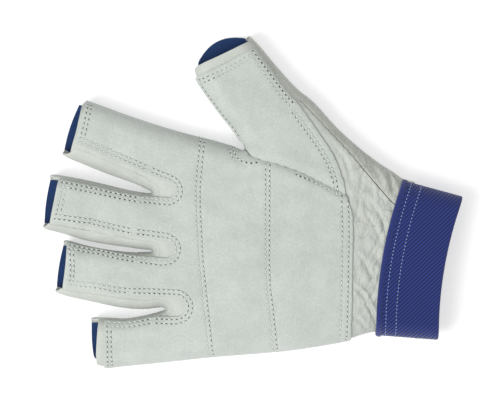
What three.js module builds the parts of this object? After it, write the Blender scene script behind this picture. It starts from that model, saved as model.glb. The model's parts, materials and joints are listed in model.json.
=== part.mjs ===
// A right-hand sailing glove with cut fingers, lying on its back with the palm up. Millimetres.
// +X runs from the fingers to the wrist, +Y towards the thumb side, +Z out of the palm.
// The origin is on the underside of the back, below the middle of the palm.
import * as THREE from "three";

// Heights and cloth thicknesses.
const gloveHeight = 18;
const suedeThickness = 1.0;
const leatherThickness = 1.0;
const fabricThickness = 0.9;
const seamGap = 0.3;
const leatherInset = suedeThickness + seamGap;

// How far a finger bends back past flat; its base is cut away by this much and a little more.
const bendBackDegrees = 10;
const bendBackSpare = 2;
const hingeClearance = 0.35;

// The digit sleeves. A hinge lies across the sleeve at its base, level with the palm's surface.
// The angle is the sleeve's direction from the hinge, anticlockwise from +X. Looking out along
// the sleeve, its left side is the side towards the little finger.
const digits = [
  { name: "thumb", hinge: [1.1, 61.9], angle: 125.4, baseWidth: 38.9, tipWidth: 32.8,
    frontLength: 32, backLength: 37.5, left: null, right: "thumb_side_strip" },
  { name: "index", hinge: [-57.4, 42.3], angle: 160, baseWidth: 30, tipWidth: 27,
    frontLength: 38, backLength: 42.5, left: "index_fourchette_middle_side", right: null },
  { name: "middle", hinge: [-64.6, 12.4], angle: 170, baseWidth: 26.4, tipWidth: 26,
    frontLength: 41, backLength: 45, left: "middle_fourchette_ring_side",
    right: "middle_fourchette_index_side" },
  { name: "ring", hinge: [-66.4, -17.3], angle: 171, baseWidth: 26.4, tipWidth: 25.5,
    frontLength: 33, backLength: 36.5, left: "ring_fourchette_little_side",
    right: "ring_fourchette_middle_side" },
  { name: "little", hinge: [-56.3, -45.3], angle: 184.8, baseWidth: 23, tipWidth: 23.2,
    frontLength: 26.5, backLength: 30, left: null, right: "little_fourchette_ring_side" },
];

// Angles round a sleeve's section, in degrees: 0 is its left side and 90 the palm side.
const frontFrom = 36;
const sideReach = 33;
const suedeFrom = 43;
const sectionPower = 2.8; // 2 is an ellipse, and more is squarer
const stepsAlong = 5;
const degreesPerStep = 13;
const hemLength = 6;

// The forks between the digits, where the silhouette turns back.
const forks = {
  thumbIndex: [-11.6, 45.6],
  indexMiddle: [-57.5, 25.6],
  middleRing: [-59.2, -2.5],
  ringLittle: [-52.4, -32.2],
};

// The wrist, where the leather meets the cuff.
const cuffAngle = -9.8;
const cuffCentre = [73, -8.8];
const cuffLength = 30;
const cuffWidth = 76;
const cuffBottom = 3.3;
const cuffTop = 19.3;
const elasticThickness = 1.8;
const cuffSlit = 14; // the opening in the back of the cuff, closed by the strap

const looks = {
  suede: { color: 0xc9cfca, roughness: 0.95 },
  leather: { color: 0xd9dbd5, roughness: 0.6 },
  fabric: { color: 0x173a78, roughness: 0.85 },
  elastic: { color: 0x26358c, roughness: 0.8 },
  hook: { color: 0x1a2450, roughness: 0.9 },
};

const glove = new THREE.Group();

function add(name, geometry, look, parent = glove) {
  const material = new THREE.MeshStandardMaterial({ ...looks[look], metalness: 0 });
  const mesh = new THREE.Mesh(geometry, material);
  mesh.name = name;
  parent.add(mesh);
  return mesh;
}

// A curved sheet: a box with steps along and round it, each of whose corners goes to place(u, v, w),
// where u runs along, v round and w through the thickness, all from 0 to 1.
function sheet(steps, place) {
  const geometry = new THREE.BoxGeometry(1, 1, 1, steps[0], steps[1], 1);
  const corners = geometry.getAttribute("position");
  for (let i = 0; i < corners.count; i++) {
    const [u, v, w] = [corners.getX(i), corners.getY(i), corners.getZ(i)].map((c) => c + 0.5);
    corners.setXYZ(i, ...place(u, v, w));
  }
  return geometry;
}

// A flat plate of a plan outline, from one height to another.
function plate(outline, bottom, top) {
  const shape = new THREE.Shape(outline.map(([x, y]) => new THREE.Vector2(x, y)));
  const geometry = new THREE.ExtrudeGeometry(shape, { depth: top - bottom, bevelEnabled: false });
  return geometry.translate(0, 0, bottom);
}

// The unit vector square to a plan segment, on its left.
function leftOf(from, to) {
  const length = Math.hypot(to[0] - from[0], to[1] - from[1]);
  return [-(to[1] - from[1]) / length, (to[0] - from[0]) / length];
}

// A strip standing on its edge: the plan line's right side is its outer face.
function wall(line, thickness, bottom, top) {
  const last = line.length - 1;
  const inner = line.map((point, i) => {
    const into = leftOf(line[Math.max(i - 1, 0)], line[Math.max(i, 1)]);
    const out = leftOf(line[Math.min(i, last - 1)], line[Math.min(i + 1, last)]);
    const middle = [into[0] + out[0], into[1] + out[1]];
    const reach = thickness / (1 + into[0] * out[0] + into[1] * out[1]);
    return [point[0] + reach * middle[0], point[1] + reach * middle[1]];
  });
  return plate([...line, ...inner.reverse()], bottom, top);
}

// ---- Digit sleeves ----

// A point of a sleeve's section, inset from its outer surface.
function sectionPoint(degrees, width, inset) {
  const angle = THREE.MathUtils.degToRad(degrees);
  const round = (c) => Math.sign(c) * Math.abs(c) ** (2 / sectionPower);
  return [
    (width / 2 - inset) * round(Math.cos(angle)),
    gloveHeight / 2 + (gloveHeight / 2 - inset) * round(Math.sin(angle)),
  ];
}

// The sleeve's base is cut back towards the back of the hand, and its tip opens towards the palm.
function sleeveStart(z) {
  const slope = Math.tan(THREE.MathUtils.degToRad(bendBackDegrees + bendBackSpare));
  return hingeClearance + (gloveHeight - z) * slope;
}

function sleeveEnd(digit, z) {
  return digit.frontLength + (digit.backLength - digit.frontLength) * (1 - z / gloveHeight);
}

// A panel of a sleeve between two section angles, from the outer inset to the inner one.
function sleevePanel(digit, from, to, outer, inner, hem = false) {
  const steps = [hem ? 1 : stepsAlong, Math.round((to - from) / degreesPerStep)];
  return sheet(steps, (u, v, w) => {
    const degrees = from + (to - from) * v;
    const inset = outer + (inner - outer) * w;
    const z = sectionPoint(degrees, digit.baseWidth, inset)[1];
    const end = sleeveEnd(digit, z);
    const start = hem ? end - hemLength : sleeveStart(z);
    const x = start + (end - start) * u;
    const width = digit.baseWidth + (digit.tipWidth - digit.baseWidth) * (x / digit.backLength);
    return [x, sectionPoint(degrees, width, inset)[0], z];
  });
}

function addSleeve(digit) {
  const group = new THREE.Group();
  group.position.set(digit.hinge[0], digit.hinge[1], 0);
  group.rotation.z = THREE.MathUtils.degToRad(digit.angle);
  glove.add(group);
  // Where a side has no fourchette, the palm leather wraps round it to the back.
  const from = digit.left ? frontFrom : -sideReach;
  const to = 180 - (digit.right ? frontFrom : -sideReach);
  const leatherInner = leatherInset + leatherThickness;
  const panel = (...arguments_) => sleevePanel(digit, ...arguments_);
  add(digit.name + "_palm_leather", panel(from, to, leatherInset, leatherInner), "leather", group);
  add(digit.name + "_reinforcement", panel(suedeFrom, 180 - suedeFrom, 0, suedeThickness),
    "suede", group);
  add(digit.name + "_back", panel(180 + frontFrom, 360 - frontFrom, 0, fabricThickness),
    "fabric", group);
  add(digit.name + "_tip_hem",
    panel(3 - sideReach, 177 + sideReach, leatherInner + seamGap, leatherInner + 2 * seamGap + 0.5,
      true), "leather", group);
  const sideInner = seamGap + leatherThickness;
  if (digit.left) add(digit.left, panel(-sideReach, sideReach, seamGap, sideInner), "leather", group);
  if (digit.right)
    add(digit.right, panel(180 - sideReach, 180 + sideReach, seamGap, sideInner), "leather", group);
}

digits.forEach(addSleeve);

// ---- Hand ----

const [thumb, index, middle, ring, little] = digits;

// A point on a digit's hinge line: across is -1 at the sleeve's right edge and 1 at its left.
function onHinge(digit, across, back = 0) {
  const angle = THREE.MathUtils.degToRad(digit.angle);
  const side = (across * digit.baseWidth) / 2;
  return [
    digit.hinge[0] - side * Math.sin(angle) - back * Math.cos(angle),
    digit.hinge[1] + side * Math.cos(angle) - back * Math.sin(angle),
  ];
}

// The long edges of the hand, each listed from the fingers to the wrist.
const indexEdge = [[-39.8, 52.9], [-28.1, 50]];
const littleEdge = [[-47.5, -55.8], [-28, -53.8], [12.6, -50.4], [41, -46.5]];
const thumbEdge = [[21.8, 69.4], [33.5, 57.7], [41.2, 50], [50.4, 42.2]];
const wristAtLittle = [51.4, -43.7];
const wristMiddle = [57.8, -6.2];
const wristAtThumb = [64.3, 31.4];

const handOutline = [
  onHinge(thumb, -1), onHinge(thumb, 1), forks.thumbIndex, ...[...indexEdge].reverse(),
  onHinge(index, -1), onHinge(index, 1), forks.indexMiddle,
  onHinge(middle, -1), onHinge(middle, 1), forks.middleRing,
  onHinge(ring, -1), onHinge(ring, 1), forks.ringLittle,
  onHinge(little, -1), onHinge(little, 1), ...littleEdge,
  wristAtLittle, wristMiddle, wristAtThumb, ...[...thumbEdge].reverse(),
];

// From the back up: stretch fabric, edge walls, palm leather, reinforcement.
const leatherTop = gloveHeight - leatherInset;
const wallBottom = fabricThickness + seamGap;
const wallTop = leatherTop - leatherThickness - seamGap;

add("palm_leather", plate(handOutline, leatherTop - leatherThickness, leatherTop), "leather");
add("back_fabric", plate(handOutline, 0, fabricThickness), "fabric");

// The reinforcement stays clear of the forks by a round notch, and ends at the wrist seam.
const notchRadius = 5;
const notches = { indexMiddle: [-50.4, 26.8], middleRing: [-51.6, -3.1], ringLittle: [-45.1, -30.5] };
const suedeAcross = 0.72;

function notch([x, y]) {
  const stops = [90, 45, 0, -45, -90].map((degrees) => THREE.MathUtils.degToRad(degrees));
  return stops.map((a) => [x + notchRadius * Math.cos(a), y + notchRadius * Math.sin(a)]);
}

const thumbSeam = [[-8.8, 42.3], [4.1, 39.1], [24.3, 30.6], [36.5, 24.6]];
const suedeWristEdge = [[40.4, 7.3], [39.8, -12.1], [39.5, -46]];

const palmSuede = [
  ...thumbSeam.map(([x, y]) => [x, y - seamGap]).reverse(), [-13, 45], [-28.1, 48.5],
  onHinge(index, -0.9), onHinge(index, suedeAcross), ...notch(notches.indexMiddle),
  onHinge(middle, -suedeAcross), onHinge(middle, suedeAcross), ...notch(notches.middleRing),
  onHinge(ring, -suedeAcross), onHinge(ring, suedeAcross), ...notch(notches.ringLittle),
  onHinge(little, -suedeAcross), onHinge(little, 0.95),
  [-28, -52.5], [12.6, -49.2], ...[...suedeWristEdge].reverse(),
];
const thumbSuede = [
  ...thumbSeam.map(([x, y]) => [x, y + seamGap]), [29.1, 46.1],
  onHinge(thumb, -0.75), onHinge(thumb, 0.85),
];
const suedeBottom = gloveHeight - suedeThickness;
add("palm_reinforcement", plate(palmSuede, suedeBottom, gloveHeight), "suede");
add("thumb_base_reinforcement", plate(thumbSuede, suedeBottom, gloveHeight), "suede");

// The edges of the hand between the back and the palm.
const wallLeather = 1.2;
const handWall = (line) => wall(line, wallLeather, wallBottom, wallTop);
const cornerOut = 0.6; // how far the walls stay back from a hinge line
add("little_side_edge", handWall([onHinge(little, 1, cornerOut), ...littleEdge, wristAtLittle]),
  "leather");
add("thumb_side_gusset",
  handWall([wristAtThumb, ...[...thumbEdge].reverse(), onHinge(thumb, -1, cornerOut)]), "leather");
add("thumb_index_web",
  handWall([onHinge(thumb, 1, cornerOut), forks.thumbIndex, ...[...indexEdge].reverse(),
    onHinge(index, -1, cornerOut)]), "leather");

// The web at a fork: the bend of the fourchette that lines two neighbouring fingers.
function web(name, first, fork, second) {
  const inwards = wallLeather * 2.2;
  const reach = (digit, across, trim) =>
    onHinge(digit, across * (1 - (2 * trim) / digit.baseWidth), cornerOut);
  const outline = [
    reach(first, 1, 0), fork, reach(second, -1, 0), reach(second, -1, wallLeather),
    [fork[0] + inwards, fork[1]], reach(first, 1, wallLeather),
  ];
  add(name, plate(outline, wallBottom, wallTop), "leather");
}

web("index_middle_web", index, forks.indexMiddle, middle);
web("middle_ring_web", middle, forks.middleRing, ring);
web("ring_little_web", ring, forks.ringLittle, little);

// ---- Cuff and closure ----

const cuff = new THREE.Group();
cuff.position.set(cuffCentre[0], cuffCentre[1], 0);
cuff.rotation.z = THREE.MathUtils.degToRad(cuffAngle);
glove.add(cuff);

const cuffMiddle = (cuffBottom + cuffTop) / 2;
const cuffRadius = (cuffTop - cuffBottom) / 2;

// One point of the cuff's stadium section, a share of the way round from the slit's far edge.
function cuffPoint(share, inset) {
  const flat = cuffWidth - 2 * cuffRadius;
  const bend = Math.PI * cuffRadius;
  const slitHalf = cuffSlit / 2;
  const length = 2 * flat + 2 * bend - cuffSlit;
  const radius = cuffRadius - inset;
  let run = slitHalf + share * length;
  if (run <= flat / 2) return [run, cuffMiddle - radius];
  run -= flat / 2;
  if (run <= bend) {
    const angle = run / cuffRadius - Math.PI / 2;
    return [flat / 2 + radius * Math.cos(angle), cuffMiddle + radius * Math.sin(angle)];
  }
  run -= bend;
  if (run <= flat) return [flat / 2 - run, cuffMiddle + radius];
  run -= flat;
  if (run <= bend) {
    const angle = run / cuffRadius + Math.PI / 2;
    return [-flat / 2 + radius * Math.cos(angle), cuffMiddle + radius * Math.sin(angle)];
  }
  return [-flat / 2 + run - bend, cuffMiddle - radius];
}

function cuffRing(from, to, outer, inner) {
  return sheet([1, 60], (u, v, w) => {
    const [y, z] = cuffPoint(v, outer + (inner - outer) * w);
    return [from + (to - from) * u, y, z];
  });
}

// The folded tape covers the seam on the glove side, and the elastic band runs on from it.
const tapeWidth = 3;
add("cuff_elastic", cuffRing(-cuffLength / 2 + tapeWidth + seamGap, cuffLength / 2, 0,
  elasticThickness), "elastic", cuff);
add("cuff_seam_tape", cuffRing(-cuffLength / 2, -cuffLength / 2 + tapeWidth, 0,
  elasticThickness), "elastic", cuff);

// The strap lies across the slit under the cuff, hinged where it is sewn on at the thumb side.
const strapWidth = 24;
const strapThickness = 1.1;
const strapRoot = 20;
const strapTip = -28;
const strapClearance = 1;
const tapeThickness = 0.6;
const patchWidth = 20;
const patchInset = 2;

function strapPiece(name, width, from, to, bottom, top, look) {
  const half = width / 2;
  const outline = [[-half, from], [half, from], [half, to], [-half, to]];
  add(name, plate(outline, bottom, top), look, cuff);
}

strapPiece("strap_root", strapWidth, strapRoot + strapClearance, strapRoot + 8,
  cuffBottom - seamGap - strapThickness, cuffBottom - seamGap, "elastic");
strapPiece("closure_strap", strapWidth, strapTip, strapRoot - seamGap, 0, strapThickness, "elastic");
const hookTop = strapThickness + seamGap + tapeThickness;
strapPiece("hook_tape", patchWidth, strapTip + patchInset, -cuffSlit / 2 - 1,
  strapThickness + seamGap, hookTop, "hook");
strapPiece("loop_tape", patchWidth, strapTip + patchInset, -cuffSlit / 2 - 1,
  hookTop + seamGap, hookTop + seamGap + tapeThickness, "hook");
strapPiece("pull_tab", strapWidth - 6, strapTip - 9, strapTip - seamGap, 0, strapThickness,
  "leather");

export default glove;
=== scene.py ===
import json
import math

import bpy
import numpy as np
from mathutils.geometry import delaunay_2d_cdt
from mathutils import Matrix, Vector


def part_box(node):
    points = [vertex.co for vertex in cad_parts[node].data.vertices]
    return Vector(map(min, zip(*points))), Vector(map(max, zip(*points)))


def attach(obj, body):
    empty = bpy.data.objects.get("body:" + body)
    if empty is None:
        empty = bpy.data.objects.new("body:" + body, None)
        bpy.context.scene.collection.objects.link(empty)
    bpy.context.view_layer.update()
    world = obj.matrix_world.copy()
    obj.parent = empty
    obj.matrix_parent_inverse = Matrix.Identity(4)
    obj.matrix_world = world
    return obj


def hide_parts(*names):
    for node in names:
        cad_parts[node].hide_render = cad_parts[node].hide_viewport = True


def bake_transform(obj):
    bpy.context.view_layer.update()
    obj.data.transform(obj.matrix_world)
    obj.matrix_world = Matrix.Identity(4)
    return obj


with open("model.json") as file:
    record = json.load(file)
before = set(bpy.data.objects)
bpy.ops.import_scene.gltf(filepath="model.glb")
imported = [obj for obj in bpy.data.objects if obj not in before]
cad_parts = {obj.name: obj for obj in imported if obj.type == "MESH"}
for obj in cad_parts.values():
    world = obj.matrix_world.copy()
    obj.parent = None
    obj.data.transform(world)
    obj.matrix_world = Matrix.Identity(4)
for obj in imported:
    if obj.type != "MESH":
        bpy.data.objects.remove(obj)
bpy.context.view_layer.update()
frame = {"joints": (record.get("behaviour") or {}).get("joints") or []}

# A cut-finger sailing glove lying palm up. Lengths in this script are millimetres in the shared frame:
# +X from the fingers to the wrist, +Y to the thumb side, +Z out of the palm.
#
# The leather's outer face is one surface over the plan. It rises round each side of the glove
# from a silhouette line, and each piece is a sheet cut out of it, lifted by its layer.
MM = 0.001
ROLL = 8.0  # how far in from a silhouette the surface is still rounding over
QUARTER = ROLL * math.pi / 2  # the length round that quarter turn
MIDDLE = 7.6  # the silhouette's height
LEATHER = 1.0
SUEDE = 1.1
BACK_SEAM = -5.6  # where the side pieces meet the back, in mm round the side from the silhouette
CELL = 1.35  # how far apart a sheet's points are
CUT_EDGE = 0.55  # how far in from a cut edge a sheet is rounded
STITCH = 2.4
BOTH = ("left", "right")  # a digit's sides, looking out along it

joints = {joint["child"]: joint for joint in frame["joints"]}


# ---- Lines in plan ----

def resample(line, step):
    run = np.r_[0, np.cumsum(np.hypot(*np.diff(line, axis=0).T))]
    count = max(2, int(round(run[-1] / step)) + 1)
    at = np.linspace(0, run[-1], count)
    return np.column_stack([np.interp(at, run, line[:, i]) for i in (0, 1)])


def smooth_line(points, step=0.9):
    """A smooth curve through the points, as points an even step apart."""
    p = np.array(points, float)
    p = np.vstack([2 * p[0] - p[1], p, 2 * p[-1] - p[-2]])
    t = np.linspace(0, 1, 16, endpoint=False)[:, None]
    runs = []
    for a, b, c, d in zip(p[:-3], p[1:-2], p[2:-1], p[3:]):
        bend = (2 * a - 5 * b + 4 * c - d) * t ** 2 + (3 * b - a - 3 * c + d) * t ** 3
        runs.append(0.5 * (2 * b + (c - a) * t + bend))
    return resample(np.vstack(runs + [p[-2:-1]]), step)


def unit(vectors):
    return vectors / np.maximum(np.linalg.norm(vectors, axis=-1, keepdims=True), 1e-9)


def left_normals(line):
    along = unit(np.gradient(line, axis=0))
    return np.column_stack([-along[:, 1], along[:, 0]])


class Side:
    """A stretch of silhouette with the direction inwards at each of its points."""

    def __init__(self, points, inwards=None):
        self.points = points
        self.inwards = left_normals(points) if inwards is None else inwards

    def part(self, start, end):
        return Side(self.points[start:end], self.inwards[start:end])

    def reversed(self):
        return Side(self.points[::-1], self.inwards[::-1])

    def run(self):
        """How far along the side each of its points is."""
        return np.r_[0, np.cumsum(np.hypot(*np.diff(self.points, axis=0).T))]

    def at(self, distances):
        """The same line with its points at the given distances along it."""
        run = self.run()
        columns = [np.interp(distances, run, values) for values in (*self.points.T, *self.inwards.T)]
        return Side(np.column_stack(columns[:2]), unit(np.column_stack(columns[2:])))

    def cut(self, point, across):
        """The side before and after the line through point, square to across, sharing the crossing."""
        ahead = (self.points - point) @ across
        flips = np.nonzero(np.sign(ahead[:-1]) != np.sign(ahead[1:]))[0]
        near = np.hypot(*(self.points[flips] - point).T)
        i = flips[np.argmin(near)]
        share = ahead[i] / (ahead[i] - ahead[i + 1])
        at = self.points[i] + share * (self.points[i + 1] - self.points[i])
        inward = unit(self.inwards[i] + share * (self.inwards[i + 1] - self.inwards[i]))
        before = Side(np.vstack([self.points[:i + 1], at]), np.vstack([self.inwards[:i + 1], inward]))
        after = Side(np.vstack([at, self.points[i + 1:]]), np.vstack([inward, self.inwards[i + 1:]]))
        return before, after

    def refined(self, step):
        length = self.run()[-1]
        return self.at(np.linspace(0, length, int(length / step) + 1))

    def lengthened(self, amount):
        """The side run straight on beyond its last point."""
        onwards = unit(self.points[-1] - self.points[-4]) * amount
        points = np.vstack([self.points, self.points[-1] + onwards])
        return Side(points, np.vstack([self.inwards, self.inwards[-1]]))

    def shortened(self, amount):
        return self.at(np.linspace(0, self.run()[-1] - amount, len(self.points)))

    def offset(self, arc):
        """The line that is arc mm round from the silhouette, in the unrolled plan."""
        arc = np.broadcast_to(arc, len(self.points))
        return self.points + self.inwards * (arc - QUARTER + ROLL)[:, None]


# The silhouette, with the glove on each line's left.
SILHOUETTE = {
    "thumb_to_index": [
        (-37.2, 88.4), (-36.2, 83.2), (-33, 77.1), (-24.7, 65.5), (-18.4, 57.7), (-14.2, 51.4),
        (-12.4, 47.4), (-13.6, 46.1), (-17.5, 46.9), (-28.1, 50), (-39.8, 52.9), (-55.3, 57.4),
        (-70.8, 62.6), (-82.5, 66.9), (-92.6, 70.4)],
    "index_to_middle": [
        (-101.6, 44), (-97.6, 41.9), (-90.2, 38.9), (-78.6, 34.2), (-66.9, 30.1), (-59.6, 26.9),
        (-57.4, 25.6), (-59.6, 25.2), (-63.5, 25.8), (-70.8, 27.2), (-82.5, 30.1), (-94.1, 32.6),
        (-103.4, 34.2), (-107.2, 34.4)],
    "middle_to_ring": [
        (-111, 8.2), (-108.2, 7.2), (-101.9, 5.6), (-90.2, 2.2), (-78.6, 0), (-63.1, -2.1),
        (-58.6, -2.5), (-57.3, -3.1), (-59.6, -3.5), (-70, -3.4), (-85.5, -1.2), (-97.2, 1.9),
        (-100.6, 2.4)],
    "ring_to_little": [
        (-105, -23), (-101.6, -24.3), (-96, -25.9), (-85.5, -28.1), (-73.1, -30.6), (-62, -31.4),
        (-53.4, -30.6), (-51, -31.2), (-53.2, -32.4), (-60.7, -34.3), (-70, -35.8), (-78, -35.5),
        (-84.2, -35.3), (-87.2, -35.3)],
    "little_to_wrist": [
        (-87, -57), (-84.2, -58.6), (-79.5, -59.2), (-73, -58.4), (-54.5, -56.6), (-28.1, -53.8),
        (-10.7, -52.4), (12.6, -50.2), (36.5, -46.2), (44, -44), (51.5, -42.4), (60, -43.4)],
    "wrist_to_thumb": [
        (72, 30.2), (64.6, 32.4), (60.4, 35.3), (55.4, 38.4), (49.9, 42.3), (43.5, 47.3), (32.8, 57),
        (21.7, 69.2), (13.1, 76.4), (3.9, 86.4), (-4.7, 96.7), (-10, 102.2)],
}
sides = {name: Side(smooth_line(points)) for name, points in SILHOUETTE.items()}
ALL_SIDES = list(sides.values())


def nearest(points, among):
    """For plan points: the distance inside the nearest side, and the direction inwards there."""
    starts = np.vstack([side.points[:-1] for side in among])
    steps = np.vstack([np.diff(side.points, axis=0) for side in among])
    first = np.vstack([side.inwards[:-1] for side in among])
    second = np.vstack([side.inwards[1:] for side in among])
    lengths = (steps ** 2).sum(1)
    inside, inwards = np.empty(len(points)), np.empty((len(points), 2))
    for low in range(0, len(points), 1500):
        p = points[low:low + 1500, None]
        share = np.clip(((p - starts) * steps).sum(2) / lengths, 0, 1)
        gap = p - starts - steps * share[..., None]
        best = np.argmin((gap ** 2).sum(2), axis=1)
        rows = np.arange(len(best))
        share, gap = share[rows, best][:, None], gap[rows, best]
        facing = unit(first[best] * (1 - share) + second[best] * share)
        far = np.linalg.norm(gap, axis=1)
        sign = np.where((gap * facing).sum(1) < 0, -1.0, 1.0)
        inside[low:low + 1500] = far * sign
        straight = gap / np.maximum(far, 1e-9)[:, None] * sign[:, None]
        inwards[low:low + 1500] = np.where(far[:, None] > 0.05, straight, facing)
    return inside, inwards


def unrolled(points):
    """Plan points moved out to where they lie when the rounded sides are laid flat."""
    points = np.array(points, float)
    inside, inwards = nearest(points, ALL_SIDES)
    depth = np.clip(inside, 0, ROLL)
    arc = ROLL * np.arccos(1 - depth / ROLL)
    shift = np.where(inside < ROLL, arc - QUARTER + ROLL - depth, 0)
    return points + inwards * shift[:, None]


# ---- The surface ----

# Creases in the leather: from, to, depth and half-width.
CREASES = [
    # across the wrist, two ways
    ((43.4, 22.8), (41.6, 13.6), 1.2, 0.7), ((56.4, 11), (42.6, -12.4), 1.2, 0.75),
    ((54.4, 0.4), (44.6, -12.6), 1.3, 0.7), ((52.4, 14), (42.4, 1.6), 1.2, 0.7),
    ((47.4, 23), (56.6, 5.6), 1.2, 0.7), ((45.4, 17), (54.4, -0.6), 0.9, 0.65),
    ((41.2, -19.8), (51.4, -38.4), 1.8, 0.8), ((51.8, -7.4), (45.2, -24.4), 1.2, 0.7),
    ((53, -13), (48.2, -28), 1.0, 0.65), ((41, -34.6), (47.8, -42.6), 1.2, 0.65),
    ((42, -3), (51.4, -22), 0.9, 0.7), ((50, -24), (42.6, -33.4), 1.0, 0.7),
    ((51.2, 19), (45, 5.4), 0.8, 0.65), ((44, -27), (49.4, -33), 0.7, 0.6),
    ((56.8, 16), (50.4, 10), 0.7, 0.6),
    # down the thumb's side
    ((56.2, 36.9), (59.9, 24.2), 2.2, 0.9), ((50.4, 38.4), (54.8, 27.6), 0.9, 1.0),
    ((36.4, 40), (39.6, 27.6), 0.6, 0.9), ((32.6, 47.6), (38.8, 33.6), 0.5, 0.8),
    ((44.6, 34), (42.6, 23), 0.6, 0.9), ((38.5, 50.3), (45.8, 38.4), 0.5, 0.9),
    ((28.4, 52), (34.6, 41.4), 0.4, 0.7), ((48.8, 30), (49.6, 20.4), 0.5, 0.8),
    # across the palm, faint
    ((-30, 25.7), (-17.9, 34), 0.3, 0.9), ((-26.7, -14.6), (-4.4, -3.4), 0.28, 1.1),
    ((1.9, 2.4), (12.2, 7.3), 0.28, 1.2), ((12.2, 7.3), (24.3, 11.2), 0.25, 1.2),
    ((-17.9, 14), (-8, 24.6), 0.18, 1.3), ((4, -26), (22, -18), 0.2, 1.6),
    # round the bases of the fingers' sides
    ((-74, 36.6), (-62, 29.8), 0.5, 0.6), ((-70, 38.2), (-58.6, 30.6), 0.4, 0.6),
    ((-66, 37), (-55.4, 30.4), 0.4, 0.5), ((-88, 5.6), (-72, 4.2), 0.5, 0.7),
    ((-80, 3.4), (-64, 1.6), 0.4, 0.6), ((-84, -24.6), (-70, -28.2), 0.5, 0.8),
    ((-76, -26), (-60, -29.2), 0.4, 0.7), ((-94, 46), (-80, 39.4), 0.3, 0.8),
]
THUMB_SEAM = [(-9.4, 43.4), (-3.1, 40.8), (4.1, 39.1), (14.5, 35.4), (24.3, 30.6), (36.9, 24.2)]


def crease_depth(plan):
    depth = np.zeros(len(plan))
    for start, end, deep, wide in CREASES:
        start, along = np.array(start), np.array(end) - np.array(start)
        length = np.hypot(*along)
        share = ((plan - start) @ along) / length ** 2
        bow = 0.06 * length * np.sin(np.pi * np.clip(share, 0, 1))
        square = (plan - start) @ np.array([-along[1], along[0]]) / length - bow
        ends = np.clip(np.minimum(share, 1 - share) * 3.4 + 0.25, 0, 1) ** 1.5
        valley = np.exp(-(square / wide) ** 2)
        shoulder = 0.45 * np.exp(-((square - 2.1 * wide) / (1.5 * wide)) ** 2)
        depth += deep * ends * (valley - shoulder)
    return depth


def undulation(plan, size, seed):
    """A soft unevenness about 1 high, with swells of the given size."""
    random = np.random.default_rng(seed)
    total = np.zeros(len(plan))
    for _ in range(9):
        angle = random.uniform(0, 2 * math.pi)
        wave = 2 * math.pi / (size * random.uniform(0.7, 1.5))
        direction = np.array([math.cos(angle), math.sin(angle)]) * wave
        total += np.sin(plan @ direction + random.uniform(0, 2 * math.pi))
    return total / 4.2


def swell(plan, centre, wide, high):
    return high * np.exp(-(((plan - np.array(centre)) / np.array(wide)) ** 2).sum(1))


def distance_to(plan, line):
    return np.abs(nearest(plan, [Side(line)])[0])


thumb_seam = smooth_line(THUMB_SEAM)


def crown(plan):
    """The height of the palm side, away from the rounded edges."""
    height = 16.4 + swell(plan, (4, -8), (52, 44), 1.5) + swell(plan, (8, 52), (22, 20), 1.1)
    height += 0.42 * undulation(plan, 34, 3) + 0.16 * undulation(plan, 11, 5)
    from_seam = distance_to(plan, thumb_seam)
    height -= 1.0 * np.exp(-(from_seam / 1.5) ** 2)
    height += 0.5 * np.exp(-((from_seam - 3.6) / 2.6) ** 2)
    wrinkled = np.clip((plan[:, 0] - 39) / 6, 0, 1)
    height += wrinkled * 0.4 * undulation(plan, 7, 11)
    return height - crease_depth(plan)


def surface(base, inwards, arc, face):
    """Points of the glove's outer face: arc mm round from the silhouette points, towards a face."""
    turn = np.clip(arc / ROLL, -math.pi / 2, math.pi / 2)
    depth = ROLL * (1 - np.cos(turn)) + np.maximum(np.abs(arc) - QUARTER, 0)
    plan = base + inwards * depth[:, None]
    rise = np.sin(turn) * face
    above = MIDDLE + (crown(plan) - MIDDLE) * rise
    return np.column_stack([plan, np.where(rise > 0, above, MIDDLE + MIDDLE * rise)])


def roll(points, among, face):
    """Points of the outer face, from unrolled plan points."""
    inside, inwards = nearest(points, among)
    return surface(points - inwards * inside[:, None], inwards, inside + QUARTER - ROLL, face)


def roll_with_normals(points, among, face):
    """The outer face's points and normals. A step over the corner between two sides can turn a
    normal the wrong way, and there it is taken from the rounding alone."""
    step = 0.2
    inside, inwards = nearest(points, among)
    arc = inside + QUARTER - ROLL
    centre = surface(points - inwards * inside[:, None], inwards, arc, face)
    along = roll(points + [step, 0], among, face) - centre
    across = roll(points + [0, step], among, face) - centre
    normals = unit(np.cross(along, across)) * face
    turn = np.clip(arc / ROLL, -math.pi / 2, math.pi / 2)
    rounded = np.column_stack([-inwards * np.cos(turn)[:, None], face * np.sin(turn)])
    astray = (normals * rounded).sum(1) < 0.5
    return centre, np.where(astray[:, None], rounded, normals)


# ---- Meshes ----

def make_object(name, vertices, faces, material):
    mesh = bpy.data.meshes.new(name)
    mesh.from_pydata((np.asarray(vertices) * MM).tolist(), [], faces)
    at_rest = mesh.attributes.new("place_at_rest", "FLOAT_VECTOR", "POINT")
    at_rest.data.foreach_set("vector", np.asarray(vertices, float).ravel())
    mesh.materials.append(material)
    mesh.shade_smooth()
    piece = bpy.data.objects.new(name, mesh)
    bpy.context.scene.collection.objects.link(piece)
    return piece


def close_sheet(name, outer, inner, faces, rim, material):
    """A solid sheet from its outer and inner points, their faces, and the rim's edges in order."""
    count = len(outer)
    under = [[i + count for i in reversed(face)] for face in faces]
    walls = [[b, a, a + count, b + count] for a, b in rim]
    piece = make_object(name, np.vstack([outer, inner]), faces + under + walls, material)
    creased = {frozenset(edge) for edge in rim} | {frozenset((a + count, b + count)) for a, b in rim}
    for edge in piece.data.edges:
        if frozenset(edge.vertices) in creased:
            edge.use_edge_sharp = True
    return piece


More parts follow.
